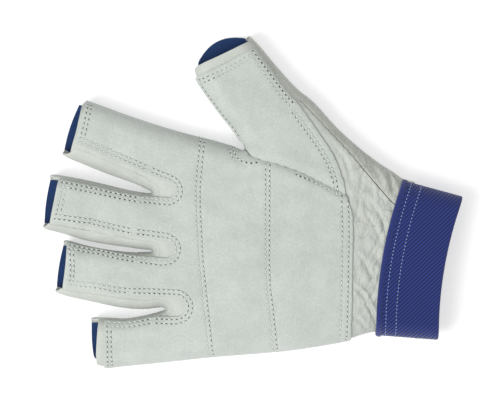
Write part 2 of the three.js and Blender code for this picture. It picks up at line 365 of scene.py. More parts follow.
def in_outline(points, outline):
    inside = np.zeros(len(points), bool)
    for (x0, y0), (x1, y1) in zip(outline, np.roll(outline, -1, axis=0)):
        if y0 != y1:
            crosses = (points[:, 1] < y0) != (points[:, 1] < y1)
            at = x0 + (points[:, 1] - y0) * (x1 - x0) / (y1 - y0)
            inside ^= crosses & (points[:, 0] < at)
    return inside


def distance_to_points(points, others):
    if not len(others):
        return np.full(len(points), np.inf)
    gaps = [np.linalg.norm(points[i:i + 800, None] - others, axis=2).min(1)
            for i in range(0, len(points), 800)]
    return np.concatenate(gaps or [np.zeros(0)])


def rim_of(faces):
    """The edges that only one face uses, in that face's direction."""
    used = {}
    for face in faces:
        for a, b in zip(face, face[1:] + face[:1]):
            used[(a, b)] = True
    return [edge for edge in used if edge[::-1] not in used]


def grid_faces(rows, columns):
    """The faces between the points of a grid, so many faces each way."""
    across = columns + 1
    return [[i * across + j, (i + 1) * across + j, (i + 1) * across + j + 1, i * across + j + 1]
            for i in range(rows) for j in range(columns)]


def edge_rounding(distance, thickness):
    """How far a sheet's face drops at a distance in from its cut edge."""
    near = np.clip(distance / CUT_EDGE, 0, 1)
    return 0.45 * thickness * (1 - np.sqrt(1 - (1 - near) ** 2))


# Across a row of stitching: how far from the thread, and how deep the sheet dips there.
STITCH_DIP = ((-0.95, 0), (-0.45, 0.12), (0, 0.34), (0.45, 0.12), (0.95, 0))


def dipped_points(rows, outline):
    """Points of a sheet along its rows of stitching, and how deep it dips at each."""
    points, dips = [np.zeros((0, 2))], [np.zeros(0)]
    for row in rows:
        along = resample(row, STITCH / 2)
        square = left_normals(along)
        for shift, dip in STITCH_DIP:
            points.append(along + square * shift)
            dips.append(dip * np.where(np.arange(len(along)) % 2, 0.5, 1.0))
    points, dips = np.vstack(points), np.concatenate(dips)
    keep = in_outline(points, outline)
    points, dips = points[keep], dips[keep]
    clear = distance_to_points(points, outline) > 0.45
    return points[clear], dips[clear]


def sheet_points(outline, stitched, cell):
    """A row of points just inside an outline, and an even grid over the rest, clear of the stitching."""
    inset = outline + left_normals(np.vstack([outline[-1], outline, outline[0]]))[1:-1] * 0.5
    low, high = outline.min(0), outline.max(0)
    tall = cell * math.sqrt(0.75)
    grid = np.array([(x + (j % 2) * cell / 2, low[1] + j * tall)
                     for j in range(int((high[1] - low[1]) / tall) + 1)
                     for x in np.arange(low[0], high[0], cell)])
    found = []
    for points, from_edge, from_stitching in ((inset, 0.4, 0.3), (grid, 0.5 + 0.55 * cell, 0.6 * cell)):
        points = points[in_outline(points, outline)]
        points = points[distance_to_points(points, outline) > from_edge]
        found.append(points[distance_to_points(points, stitched) > from_stitching])
    return found


def panel(name, edges, material, among=ALL_SIDES, face=1, lift=0.0, thickness=LEATHER, rows=(),
          cell=CELL):
    """A sheet cut out of the surface. edges are the (line, "cut" or "join") round its outline:
    a cut edge is rounded, and a join runs on into the next sheet of the same piece of leather."""
    outline = np.vstack([resample(line, 0.9)[:-1] for line, _ in edges])
    following = np.roll(outline, -1, axis=0)
    if (outline[:, 0] * following[:, 1] - outline[:, 1] * following[:, 0]).sum() < 0:
        outline = outline[::-1]
    stitched, dips = dipped_points(rows, outline)
    ring, grid = sheet_points(outline, stitched, cell)
    points = np.vstack([outline, ring, stitched, grid])
    dips = np.concatenate([np.zeros(len(outline) + len(ring)), dips, np.zeros(len(grid))])
    loop = list(range(len(outline)))
    found = delaunay_2d_cdt([tuple(p) for p in points], [], [loop], 1, 1e-5)
    plan = np.array([tuple(v) for v in found[0]])
    dips = dips[[sources[0] if sources else 0 for sources in found[3]]]
    faces = [list(triangle)[::face] for triangle in found[2]]
    spots, normals = roll_with_normals(plan, among, face)
    cuts = np.vstack([resample(line, 0.5) for line, kind in edges if kind == "cut"])
    rounding = edge_rounding(distance_to_points(plan, cuts), min(thickness, 1.2))
    outer = spots + normals * (lift - rounding - dips)[:, None]
    inner = spots + normals * (lift - thickness)
    return close_sheet(name, outer, inner, faces, rim_of(faces), material)


def strip(name, side, start, end, material, cut_end=False, short=0.0, groove=None):
    """A sheet of leather along a side, from start to end mm round from its silhouette. At its far
    end it is cut short on the palm side by short. A groove has an arc, a half-width and a depth."""
    count = len(side.points)
    start, end = np.broadcast_to(start, count), np.broadcast_to(end, count)
    width = np.abs(end - start).max()
    inner_steps = np.linspace(CUT_EDGE, width - CUT_EDGE, max(3, int(width / 0.9)))
    shares = np.r_[0, 0.25, inner_steps, width - 0.25, width] / width
    arc = start[:, None] + (end - start)[:, None] * shares
    run = side.run()
    rise = np.sin(np.clip(arc / ROLL, 0, 1.5))
    base = side.at((run[:, None] * (1 - (short / run[-1]) * rise)).ravel())
    spots = surface(base.points, base.inwards, arc.ravel(), 1).reshape(count, len(shares), 3)
    normals = unit(np.cross(np.gradient(spots, axis=0), np.gradient(spots, axis=1)))
    towards_glove = base.inwards.reshape(count, -1, 2)
    outwards = np.where((normals[..., :2] * towards_glove).sum((1, 2)) > 0, -1, 1)
    normals = normals * outwards[:, None, None]
    edge = np.broadcast_to(np.minimum(shares, 1 - shares) * width, arc.shape)
    if cut_end:
        edge = np.minimum(edge, (run[-1] - run)[:, None])
    drop = edge_rounding(edge, LEATHER)
    if groove:
        centre, wide, deep = groove
        drop = drop + deep * np.exp(-((arc - centre) / wide) ** 2)
    outer = (spots - normals * drop[..., None]).reshape(-1, 3)
    inner = (spots - normals * LEATHER).reshape(-1, 3)
    faces = grid_faces(count - 1, len(shares) - 1)
    a, b, c = [outer[faces[0][corner]] for corner in (0, 1, 3)]
    if np.dot(np.cross(b - a, c - a), normals[0, 0]) < 0:
        faces = [face[::-1] for face in faces]
    return close_sheet(name, outer, inner, faces, rim_of(faces), material)


def tube(path, normals, radius):
    """The points and faces of a thread along a path, closed to a point at each end."""
    along = unit(np.gradient(path, axis=0))
    across = unit(np.cross(along, normals))
    up = np.cross(across, along)
    swellings = radius * np.sqrt(np.clip(1 - np.linspace(-0.97, 0.97, len(path)) ** 4, 0, 1))
    sides_round, last = 6, len(path) - 1
    angles = np.arange(sides_round)[:, None] * 2 * math.pi / sides_round
    spokes = across[:, None] * np.cos(angles) + up[:, None] * np.sin(angles)
    rings = path[:, None] + swellings[:, None, None] * spokes
    points = np.vstack([rings.reshape(-1, 3), path[:1], path[-1:]])
    faces = [[i * sides_round + j, i * sides_round + (j + 1) % sides_round,
              (i + 1) * sides_round + (j + 1) % sides_round, (i + 1) * sides_round + j]
             for i in range(last) for j in range(sides_round)]
    tip = len(path) * sides_round
    for j in range(sides_round):
        k = (j + 1) % sides_round
        faces.append([k, j, tip])
        faces.append([last * sides_round + j, last * sides_round + k, tip + 1])
    return points, faces


def gather(parts):
    """Several meshes' points and faces as one."""
    points, faces, count = [], [], 0
    for part_points, part_faces in parts:
        points.append(part_points)
        faces.extend([[i + count for i in face] for face in part_faces])
        count += len(part_points)
    return np.vstack(points), faces


def stitch(ends, normals, span, height, arch, radius):
    """A thread over part of the way between two needle holes, arched over the sheet."""
    share = np.linspace(*span, 6)[:, None]
    normal = unit(normals[0] * (1 - share) + normals[1] * share)
    rise = height - arch * (share - sum(span) / 2) ** 2
    return tube(ends[0] + (ends[1] - ends[0]) * share + normal * rise, normal, radius)


def sew(name, threads, holes, thread_kind, hole_kind, body, slot):
    """Rows of stitching as two pieces: all their threads, and all their needle holes, which are dark eyelets
    of painted shadow.
    """
    for ending, parts, material in (("_thread", threads, thread_kind), ("_needle_hole_shadows", holes, hole_kind)):
        settle(make_object(name + ending, *gather(parts), material), body, slot)


def suede_stitching(name, rows, body, among):
    threads, holes = [], []
    for row in rows:
        spots, normals = roll_with_normals(resample(row, STITCH), among, 1)
        spots = spots + normals * SUEDE
        for i in range(len(spots) - 1):
            if 0.6 < np.linalg.norm(spots[i + 1] - spots[i]) / STITCH < 1.3:
                threads.append(stitch(spots[i:i + 2], normals[i:i + 2], (0.2, 0.8), 0.16, 2.6, 0.27))
        for spot, normal in zip(spots, normals):
            holes.append(needle_hole(spot - normal * 0.27, normal, 0.46))
    sew(name, threads, holes, thread_white, hole_shade, body, "leather")


def suede_sheet(name, edges, rows, body, among, node):
    """A sheet of suede on top of the leather, with its rows of stitching."""
    piece = panel(name, edges, suede, among, lift=SUEDE, thickness=SUEDE - 0.05, rows=rows)
    settle(piece, body, "suede", node)
    suede_stitching(name, rows, body, among)


def needle_hole(spot, normal, radius):
    """A small dished eyelet of shadow, closed underneath."""
    side = unit(np.cross(normal, [0.3, 0.9, 0.1]))
    other = np.cross(normal, side)
    angles = np.arange(8)[:, None] * math.pi / 4
    ring = spot + radius * (side * np.cos(angles) + other * np.sin(angles))
    points = np.vstack([ring + normal * 0.1, spot - normal * 0.05, spot - normal * 0.4])
    faces = []
    for j in range(8):
        k = (j + 1) % 8
        faces.append([j, k, 8])
        faces.append([k, j, 9])
    return points, faces


# ---- Materials ----

class Shader:
    """A node material being put together. Its patterns lie in millimetres on the sheets as they are
    at rest, so that they stay on the leather when a digit bends."""

    def __init__(self, name, roughness, sheen=0.0, sheen_roughness=0.5):
        self.material = bpy.data.materials.new(name)
        self.material.use_nodes = True
        self.nodes = self.material.node_tree.nodes
        self.links = self.material.node_tree.links
        self.shader = self.nodes["Principled BSDF"]
        self.shader.inputs["Roughness"].default_value = roughness
        self.shader.inputs["Sheen Weight"].default_value = sheen
        self.shader.inputs["Sheen Roughness"].default_value = sheen_roughness
        self.shader.inputs["Specular IOR Level"].default_value = 0.35
        self.place = self.add("ShaderNodeAttribute", attribute_name="place_at_rest").outputs["Vector"]
        self.bumps = None

    def add(self, kind, **settings):
        node = self.nodes.new(kind)
        for key, value in settings.items():
            setattr(node, key, value)
        return node

    def turned(self, angles, scale=(1, 1, 1)):
        node = self.add("ShaderNodeMapping")
        node.inputs["Rotation"].default_value = [math.radians(a) for a in angles]
        node.inputs["Scale"].default_value = scale
        self.links.new(self.place, node.inputs["Vector"])
        return node.outputs["Vector"]

    def noise(self, size, detail=3, rough=0.55):
        node = self.add("ShaderNodeTexNoise")
        node.inputs["Scale"].default_value = 1 / size
        node.inputs["Detail"].default_value = detail
        node.inputs["Roughness"].default_value = rough
        self.links.new(self.place, node.inputs["Vector"])
        return node.outputs["Fac"]

    def distance_along(self, axis, length):
        """0 to 1 over the given length of an axis."""
        split = self.add("ShaderNodeSeparateXYZ")
        self.links.new(self.place, split.inputs[0])
        return self.times(split.outputs[axis], 1 / length)

    def wander(self, at, amount):
        """The place at, moved about by a soft noise."""
        noise = self.add("ShaderNodeTexNoise")
        noise.inputs["Scale"].default_value = 0.16
        noise.inputs["Detail"].default_value = 2
        self.links.new(self.place, noise.inputs["Vector"])
        node = self.add("ShaderNodeVectorMath", operation="MULTIPLY_ADD")
        self.links.new(noise.outputs["Color"], node.inputs[0])
        node.inputs[1].default_value = (amount, amount, amount)
        self.links.new(at, node.inputs[2])
        return node.outputs["Vector"]

    def cells(self, size, at=None, feature="DISTANCE_TO_EDGE"):
        node = self.add("ShaderNodeTexVoronoi", feature=feature)
        node.inputs["Scale"].default_value = 1 / size
        self.links.new(at or self.place, node.inputs["Vector"])
        return node.outputs["Distance"]

    def waves(self, size, at, distortion):
        """Stripes a given size apart along the first axis of at."""
        node = self.add("ShaderNodeTexWave")
        node.inputs["Scale"].default_value = math.pi / (10 * size)
        node.inputs["Distortion"].default_value = distortion
        node.inputs["Detail Scale"].default_value = 1.5
        self.links.new(at, node.inputs["Vector"])
        return node.outputs["Fac"]

    def ramp(self, value, stops):
        node = self.add("ShaderNodeValToRGB")
        while len(node.color_ramp.elements) < len(stops):
            node.color_ramp.elements.new(0.5)
        for element, (position, colour) in zip(node.color_ramp.elements, stops):
            element.position = position
            element.color = (*colour, 1)
        self.links.new(value, node.inputs["Fac"])
        return node.outputs["Color"]

    def put(self, socket, value):
        """Links a socket to another node's output, or sets it to a number or colour."""
        if isinstance(value, bpy.types.NodeSocket):
            self.links.new(value, socket)
        else:
            socket.default_value = value

    def tinted(self, amount, colour, tint):
        """A colour multiplied by a tint, wholly or in part."""
        node = self.add("ShaderNodeMix", data_type="RGBA", blend_type="MULTIPLY")
        for i, value in ((0, amount), (6, colour), (7, tint)):
            self.put(node.inputs[i], value)
        return node.outputs[2]

    def times(self, a, b):
        node = self.add("ShaderNodeMath", operation="MULTIPLY")
        self.put(node.inputs[0], a)
        self.put(node.inputs[1], b)
        return node.outputs[0]

    def bump(self, height, strength, distance):
        node = self.add("ShaderNodeBump")
        node.inputs["Strength"].default_value = strength
        node.inputs["Distance"].default_value = distance * MM
        self.links.new(height, node.inputs["Height"])
        if self.bumps:
            self.links.new(self.bumps, node.inputs["Normal"])
        self.bumps = node.outputs["Normal"]

    def finish(self, colour):
        self.links.new(colour, self.shader.inputs["Base Color"])
        if self.bumps:
            self.links.new(self.bumps, self.shader.inputs["Normal"])
        return self.material


def shade(colour, factor):
    return tuple(c * factor for c in colour)


def grey(value):
    return (value, value, value)


def suede_material():
    s = Shader("suede_reinforcement", 0.92, sheen=0.25, sheen_roughness=0.6)
    base = (0.51, 0.547, 0.512)
    clouds = s.ramp(s.noise(14, 5, 0.65), [(0.3, shade(base, 0.91)), (0.7, shade(base, 1.05))])
    speckle = s.ramp(s.noise(0.9, 4, 0.75), [(0.3, grey(0.8)), (0.7, grey(1.06))])
    s.bump(s.noise(0.55, 3, 0.7), 0.4, 0.25)
    s.bump(s.noise(2.6, 3, 0.6), 0.35, 0.55)
    return s.finish(s.tinted(0.8, clouds, speckle))


def leather_material(name, tint, coarse, wrinkled):
    """Grained leather. coarse scales its grain and wrinkled its network of fine creases, which are bumped and
    also darkened with painted shade.
    """
    s = Shader(name, 0.62, sheen=0.05)
    clouds = s.ramp(s.noise(16, 4, 0.6), [(0.3, shade(tint, 0.93)), (0.7, shade(tint, 1.03))])
    pores = s.ramp(s.cells(0.8), [(0.0, (0.88, 0.88, 0.86)), (0.16, grey(1))])
    colour = s.tinted(0.6, clouds, pores)
    s.bump(s.cells(0.8), 0.3, 0.18 * coarse)
    s.bump(s.noise(1.7, 4, 0.65), 0.35, 0.5 * coarse)
    s.bump(s.noise(5.0, 3, 0.55), 0.3, 0.8 * coarse)
    towards_wrist = s.ramp(s.distance_along(0, 60), [(0.3, grey(0.12)), (0.68, grey(1))])
    for size, angle, depth in ((8.0, 58, 0.3), (4.6, 118, 0.22)):
        drawn_out = s.turned((0, 0, angle), (1, 0.34, 1))
        network = s.cells(size, s.wander(drawn_out, 5.0))
        folds = s.ramp(network, [(0.0, grey(0)), (0.05, grey(0.75)), (0.2, grey(1))])
        s.bump(s.times(folds, towards_wrist), wrinkled, depth)
        # Painted shade: the colour darkens along the creases, where shade would fall into them.
        crease_painted_shade = s.ramp(network, [(0.0, (0.8, 0.8, 0.79)), (0.06, grey(1))])
        colour = s.tinted(s.times(towards_wrist, 0.5 * wrinkled), colour, crease_painted_shade)
    return s.finish(colour)


def knit_material():
    s = Shader("stretch_knit", 0.85, sheen=0.15)
    wale = s.waves(0.75, s.turned((0, 0, 8)), 0.6)
    course = s.waves(0.6, s.turned((0, 0, 98)), 0.6)
    loops = s.times(wale, course)
    colour = s.ramp(loops, [(0.0, (0.004, 0.022, 0.09)), (1.0, (0.016, 0.072, 0.235))])
    shadowed = s.ramp(s.noise(12, 3), [(0.3, grey(0.82)), (0.7, grey(1))])
    s.bump(loops, 0.6, 0.25)
    return s.finish(s.tinted(1.0, colour, shadowed))


def twill_material(name, bright, slant, pitch):
    s = Shader(name, 0.78, sheen=0.2)
    ribs = s.waves(pitch, s.turned((0, 0, slant)), 0.35)
    threads = s.waves(0.42, s.turned((0, 0, -10)), 1.2)
    fuzz = s.noise(0.5, 2, 0.7)
    colour = s.ramp(ribs, [(0.05, shade((0.007, 0.013, 0.1), bright)),
                           (0.55, shade((0.014, 0.033, 0.225), bright)),
                           (1.0, shade((0.028, 0.058, 0.33), bright))])
    colour = s.tinted(0.35, colour, s.ramp(threads, [(0.0, grey(0.6)), (1.0, grey(1.25))]))
    colour = s.tinted(0.5, colour, s.ramp(fuzz, [(0.3, grey(0.75)), (0.7, grey(1.15))]))
    s.bump(ribs, 0.85, 0.42)
    s.bump(threads, 0.3, 0.1)
    return s.finish(colour)


def thread_material(name, colour):
    s = Shader(name, 0.7, sheen=0.1)
    ply = s.waves(0.3, s.turned((20, 15, 40)), 1.0)
    s.bump(ply, 0.4, 0.08)
    return s.finish(s.ramp(ply, [(0.0, shade(colour, 0.82)), (1.0, colour)]))


# Painted shade: a needle hole's dark, slightly mottled colour stands for the shadow down in the hole.
def hole_material(name, colour):
    s = Shader(name, 0.95)
    return s.finish(s.ramp(s.noise(0.4, 2), [(0.3, shade(colour, 0.7)), (0.7, colour)]))


def pile_material():
    s = Shader("hook_and_loop_pile", 0.95, sheen=0.2)
    hooks = s.cells(0.9, feature="F1")
    s.bump(hooks, 0.9, 0.5)
    return s.finish(s.ramp(hooks, [(0.0, (0.03, 0.045, 0.13)), (0.6, (0.006, 0.01, 0.035))]))


def table_material():
    """A white light table that glows a little, and is clear from underneath."""
    s = Shader("pale_table", 0.9)
    s.shader.inputs["Emission Color"].default_value = (1, 1, 1, 1)
    s.shader.inputs["Emission Strength"].default_value = 0.5
    mixed = s.add("ShaderNodeMixShader")
    s.links.new(s.add("ShaderNodeNewGeometry").outputs["Backfacing"], mixed.inputs[0])
    s.links.new(s.shader.outputs[0], mixed.inputs[1])
    s.links.new(s.add("ShaderNodeBsdfTransparent").outputs[0], mixed.inputs[2])
    s.links.new(mixed.outputs[0], s.nodes["Material Output"].inputs["Surface"])
    return s.finish(s.ramp(s.noise(60, 2), [(0.3, grey(0.55)), (0.7, grey(0.57))]))


suede = suede_material()
leather = leather_material("soft_leather", (0.51, 0.535, 0.498), 1.0, 0.6)
# The gusset's leather is the same leather tinted darker: painted shade, where the thumb's side faces away
# from the light.
gusset_skin_painted_shade = leather_material("creased_gusset_skin_painted_shade", (0.47, 0.485, 0.445), 1.5, 0.7)
knit = knit_material()
twill = twill_material("elastic_twill", 0.72, 47, 1.4)
tape_twill = twill_material("seam_tape_weave", 0.85, 80, 0.9)
thread_white = thread_material("white_thread", (0.7, 0.73, 0.69))
thread_blue = thread_material("pale_blue_thread", (0.3, 0.4, 0.62))
# The needle holes' dark colours are painted shade, for the shadow in each hole.
hole_shade = hole_material("needle_hole_shade", (0.085, 0.092, 0.085))
blue_hole_shade = hole_material("blue_needle_hole_shade", (0.008, 0.012, 0.06))
pile = pile_material()


# ---- The digits ----

WRAP = -3.0  # where suede that covers a side ends, round on the way to the back
UNDER = QUARTER - ROLL  # where leather hidden by the suede is seamed, right over the silhouette
SEAM_GAP = 2.3  # how far the palm leather shows beyond the suede's edge
COVERED = (WRAP, WRAP)


def arc_of(depth):
    """The arc round from the silhouette to a plan depth inside it."""
    return depth + QUARTER - ROLL if depth > ROLL else ROLL * math.acos(1 - depth / ROLL)


def arcs_of(*depths):
    return tuple(arc_of(depth) for depth in depths)


def hinge_of(name):
    """A digit's hinge in plan, and the direction out along the digit."""
    joint = joints[name]
    return np.array(joint["pos_m"][:2]) / MM, np.array([-joint["axis"][1], joint["axis"][0]])


class Digit:
    """A digit's hinge, its sides from base to tip, and where its layers end on each."""

    def __init__(self, name, sides, beside, insets, front_short, side_short, hem, bow, back_bow):
        self.name = name
        self.hinge, self.along = hinge_of(name)
        self.height = joints[name]["pos_m"][2] / MM
        self.side = dict(zip(BOTH, sides))
        self.sides = [side.lengthened(12) for side in sides] + beside
        self.insets = dict(zip(BOTH, insets))  # the arcs to the suede's edge, from base to tip
        self.front_short = dict(zip(BOTH, front_short))  # how far the palm side stops short of the back
        self.side_short = dict(zip(BOTH, side_short))  # the same for the pieces down the sides
        self.hem = hem  # how far the suede stops short of the leather
        self.bow, self.back_bow = bow, back_bow

    def covered(self, which):
        """Whether the suede covers that side, rather than being seamed along it."""
        return self.insets[which] == COVERED

    def arc(self, which, short=0.0):
        """How far round from the silhouette the suede's edge lies, along a side cut short."""
        side, insets = self.side[which], self.insets[which]
        length = side.run()[-1]
        at = np.linspace(0, length - short, len(side.points)) / length
        return np.interp(at, np.linspace(0, 1, len(insets)), insets)

    def edge(self, which, shift=0.0, short=0.0):
        """The suede's edge, or a line shifted in from it, unrolled, from base to tip."""
        return self.side[which].shortened(short).offset(self.arc(which, short) + shift)

    def back_edge(self, which):
        return self.side[which].offset(-BACK_SEAM)


def split(side_name, first, second):
    """The part of a silhouette line beside each digit and the part beside the hand between them."""
    side, by_first, by_second = sides[side_name], None, None
    if first:
        outer, side = side.cut(*hinge_of(first))
        by_first = outer.reversed()
    if second:
        side, by_second = side.cut(*hinge_of(second))
    return by_first, side, by_second


thumb_left, thumb_index_edge, index_right = split("thumb_to_index", "thumb", "index")
index_left, index_middle_edge, middle_right = split("index_to_middle", "index", "middle")
middle_left, middle_ring_edge, ring_right = split("middle_to_ring", "middle", "ring")
ring_left, ring_little_edge, little_right = split("ring_to_little", "ring", "little")
little_left, little_edge, _ = split("little_to_wrist", "little", None)
_, thumb_edge, thumb_right = split("wrist_to_thumb", None, "thumb")

thumb = Digit(
    "thumb", (thumb_left, thumb_right), [thumb_index_edge.part(0, 5), thumb_edge.part(-14, None)],
    (COVERED, arcs_of(6.0, 4.2, 3.4)), (3.6, 2.6), (3.6, 3.0), hem=3.4, bow=0.8, back_bow=-5.0)
index = Digit(
    "index", (index_left, index_right), [index_middle_edge.part(0, 4), thumb_index_edge.part(-14, None)],
    (arcs_of(7.2, 8.4, 8.2), COVERED), (3.6, 1.6), (5.4, 1.6), hem=0.8, bow=0.4, back_bow=-0.9)
middle = Digit(
    "middle", (middle_left, middle_right), [middle_ring_edge.part(0, 4), index_middle_edge.part(-4, None)],
    (arcs_of(6.2, 7.6, 4.6), arcs_of(2.4, 2.8, 2.8)), (3.4, 5.0), (3.4, 3.4), hem=0.8, bow=0, back_bow=-0.6)
ring = Digit(
    "ring", (ring_left, ring_right), [ring_little_edge.part(0, 4), middle_ring_edge.part(-4, None)],
    (arcs_of(6.8, 6.2, 4.4), arcs_of(2.2, 1.0, 1.8)), (3.6, 2.0), (3.6, 1.4), hem=0.8, bow=0.5, back_bow=-0.6)
little = Digit(
    "little", (little_left, little_right), [little_edge.part(0, 14), ring_little_edge.part(-4, None)],
    (COVERED, arcs_of(2.0, 1.8, 1.6)), (4.2, 4.0), (4.2, 3.4), hem=2.8, bow=0, back_bow=-0.4)
digits = {digit.name: digit for digit in (thumb, index, middle, ring, little)}


def settle(piece, body, slot, *nodes):
    """Puts a piece on its body, or, for a digit, leaves it unparented with its place baked into its mesh."""
    if body in digits:
        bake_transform(piece)
    else:
        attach(piece, body)
    if nodes:
        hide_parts(*nodes)


def line_between(a, b, bow=0.0):
    """A line from a to b, bowed to its left by bow."""
    share = np.linspace(0, 1, 24)[:, None]
    square = np.array([-(b - a)[1], (b - a)[0]]) / np.linalg.norm(b - a)
    return a + (b - a) * share + square * bow * np.sin(math.pi * share)


def digit_outline(left, right, bow):
    """Edges round a digit's sheet, from its left and right lines, each from base to tip."""
    return [(line_between(left[0], right[0]), "join"), (right, "cut"),
            (line_between(right[-1], left[-1], bow), "cut"), (left[::-1], "cut")]


def stitched_edges(digit):
    """The double rows of stitching inside the suede's edges and across its tip."""
    short = {which: digit.front_short[which] + digit.hem for which in BOTH}
    rows = []
    for which in BOTH:
        if not digit.covered(which):
            rows += [digit.edge(which, shift, short[which] + 1.2) for shift in (1.3, 3.3)]
        elif digit is thumb:
            rows.append(digit.edge(which, arc_of(0.8) - WRAP, short[which] + 1.2))
    for back in (1.7, 3.6):
        left, right = [digit.edge(which, 5.5 if digit.covered(which) else 3.4, short[which] + back)[-1]
                       for which in BOTH]
        rows.append(line_between(left, right, -digit.bow))
    return rows


def build_digit_suede(digit):
    left, right = [digit.edge(which, 0, digit.front_short[which] + digit.hem) for which in BOTH]
    suede_sheet(digit.name + "_suede", digit_outline(left, right, digit.bow), stitched_edges(digit),
                digit.name, digit.sides, digit.name + "_reinforcement")


def build_digit_palm_leather(digit):
    """Under the suede and out to the side seams, or to the back where the suede covers the side."""
    left, right = [
        digit.side[which].shortened(digit.front_short[which]).offset(BACK_SEAM) if digit.covered(which)
        else digit.edge(which, -SEAM_GAP, digit.front_short[which]) for which in BOTH]
    piece = panel(digit.name + "_palm_leather_sheet", digit_outline(left, right, digit.bow), leather,
                  digit.sides)
    settle(piece, digit.name, "leather", digit.name + "_palm_leather")


SIDE_PIECES = {
    ("thumb", "right"): "thumb_side_strip",
    ("index", "left"): "index_fourchette_middle_side",
    ("middle", "left"): "middle_fourchette_ring_side",
    ("middle", "right"): "middle_fourchette_index_side",
    ("ring", "left"): "ring_fourchette_little_side",
    ("ring", "right"): "ring_fourchette_middle_side",
    ("little", "right"): "little_fourchette_ring_side",
}


def build_side_pieces(digit):
    """The pieces down its seamed sides, from the palm leather's seam round to the back."""
    # The thumb's side strip takes the gusset's leather, darker with painted shade.
    skin = gusset_skin_painted_shade if digit is thumb else leather
    for which in BOTH:
        if not digit.covered(which):
            node = SIDE_PIECES[digit.name, which]
            piece = strip(node + "_leather", digit.side[which], digit.arc(which) - SEAM_GAP + 0.1,
                          BACK_SEAM - 0.2, skin, cut_end=True, short=digit.side_short[which],
                          groove=(0.6, 1.0, 0.25))
            settle(piece, digit.name, "leather", node)


def build_digit_back(digit):
    outline = digit_outline(digit.back_edge("left"), digit.back_edge("right"), digit.back_bow)
    piece = panel(digit.name + "_back_panel", outline, knit, digit.sides, face=-1, thickness=0.9)
    settle(piece, digit.name, "stretch_fabric", digit.name + "_back")


def build_digit_hem(digit):
    """The palm leather's turning, inside the opening."""
    left, right = [digit.side[which].shortened(digit.front_short[which] + 0.4).offset(UNDER)[-8:]
                   for which in BOTH]
    edges = [(line, "cut") for line, _ in digit_outline(left, right, digit.bow)]
    piece = panel(digit.name + "_turned_hem", edges, leather, digit.sides, lift=-LEATHER - 0.05,
                  thickness=0.6)
    settle(piece, digit.name, "leather", digit.name + "_tip_hem")


for digit in digits.values():
    build_digit_suede(digit)
    build_digit_palm_leather(digit)
    build_side_pieces(digit)
    build_digit_back(digit)
    build_digit_hem(digit)


# ---- The hand ----

strap_axis = np.array(joints["strap"]["axis"])
CUFF_ALONG = strap_axis[:2]  # the cuff's own +X
CUFF_ACROSS = np.array([-CUFF_ALONG[1], CUFF_ALONG[0]])
CUFF_CENTRE = np.array([73.0, -8.8])
BULGE = 3.4  # how far the middle of each edge of the cuff is drawn towards the fingers
BACK_TO_CUFF = 13.4  # from the cuff's middle to where the back fabric ends
FORK_ARC = 8.2  # how far round a fork's middle the palm leather's seam lies
FORK_TAPER = 10.0  # beside the thumb's fork, the length over which the suede begins to wrap
FORKS = (
    ("index_middle", index_middle_edge, index, middle),
    ("middle_ring", middle_ring_edge, middle, ring),
    ("ring_little", ring_little_edge, ring, little),
)

# The suede's notches round the forks, each from the first finger's edge to the second's.
NOTCHES = {
    "index_middle": [(-50.4, 31.2), (-47.4, 29.8), (-45.7, 26.8), (-46.6, 23.8), (-50.2, 22.9)],
    "middle_ring": [(-52.4, 2.6), (-48.6, 1.6), (-46.5, -2.1), (-48.4, -5.6), (-52.6, -6.4)],
    "ring_little": [(-46.5, -25), (-42.4, -26.4), (-40.6, -30.4), (-42.6, -33.8), (-47.6, -35)],
}
SUEDE_WRIST = [(36.9, 24.2), (39.6, 15), (40.1, 7.3), (39.8, -12.1), (39.6, -30), (39.2, -42)]
THUMB_SUEDE_EDGE = [(36.9, 24.6), (34.6, 33.4), (29.1, 46.1)]
GUSSET_SEAM = [(62, 18.6), (59, 20.5), (54.1, 26.1), (45.6, 36), (37.2, 46.3)]
LEATHER_WRIST = [(61, -43.6), (62.6, -20), (64, 0), (63.4, 17.6)]


def joined(*parts):
    """One smooth line through plan points and lines that are already unrolled."""
    return smooth_line(np.vstack([np.atleast_2d(part) for part in parts]))


notch_lines = {
    name: joined(first.edge("left")[0], unrolled(NOTCHES[name]), second.edge("right")[0])
    for name, _, first, second in FORKS}


def offset_line(line, amount):
    """A line moved to its left."""
    moved = line + left_normals(line) * amount
    return smooth_line(np.vstack([moved[:-1:3], moved[-1:]]))


PALM_ROWS = (
    # across the palm, in pairs
    [(-33.3, 57.5), (-33.9, 50), (-35.9, 26.7), (-35.2, 5), (-34, -13.1), (-31.6, -36), (-29, -58)],
    [(-31.2, 57), (-31.8, 50), (-33.8, 26.7), (-33.1, 5), (-31.9, -13.1), (-29.5, -36), (-27, -58)],
    [(-2.1, 39), (-2.1, -12.1), (-0.4, -32), (1.9, -55)],
    [(-0.1, 38.3), (-0.2, -12.1), (1.6, -32), (4, -55)],
    [(34.6, 23.4), (35, 10), (34.8, -12), (34.4, -30), (33.8, -50)],
    [(37.6, 21), (38.2, 10), (38, -12), (37.6, -30), (37, -49)],
    # along the thumb's seam
    [(12.5, 33.9), (23.4, 28.9), (33.4, 23.5)],
)
CROTCH_ROWS = (
    [(-17.6, 48.2), (-17.2, 44.4), (-14.6, 41), (-10.4, 39.6), (-6.6, 39.6)],
    [(-19.4, 48.8), (-19, 43.8), (-15.6, 39.4), (-11, 37.6)],
)
palm_rows = [smooth_line(points) for points in PALM_ROWS]
palm_rows += [offset_line(line, amount) for line in notch_lines.values() for amount in (1.3, 3.3)]
palm_rows += [smooth_line(points) for points in CROTCH_ROWS]
thumb_edge_line = joined(unrolled(THUMB_SUEDE_EDGE), thumb.edge("right")[0])
gusset_seam = joined(unrolled(GUSSET_SEAM), thumb.edge("right", -SEAM_GAP)[0])
thumb_base_rows = [offset_line(thumb_edge_line, 3.1), offset_line(thumb_edge_line, 4.7)]

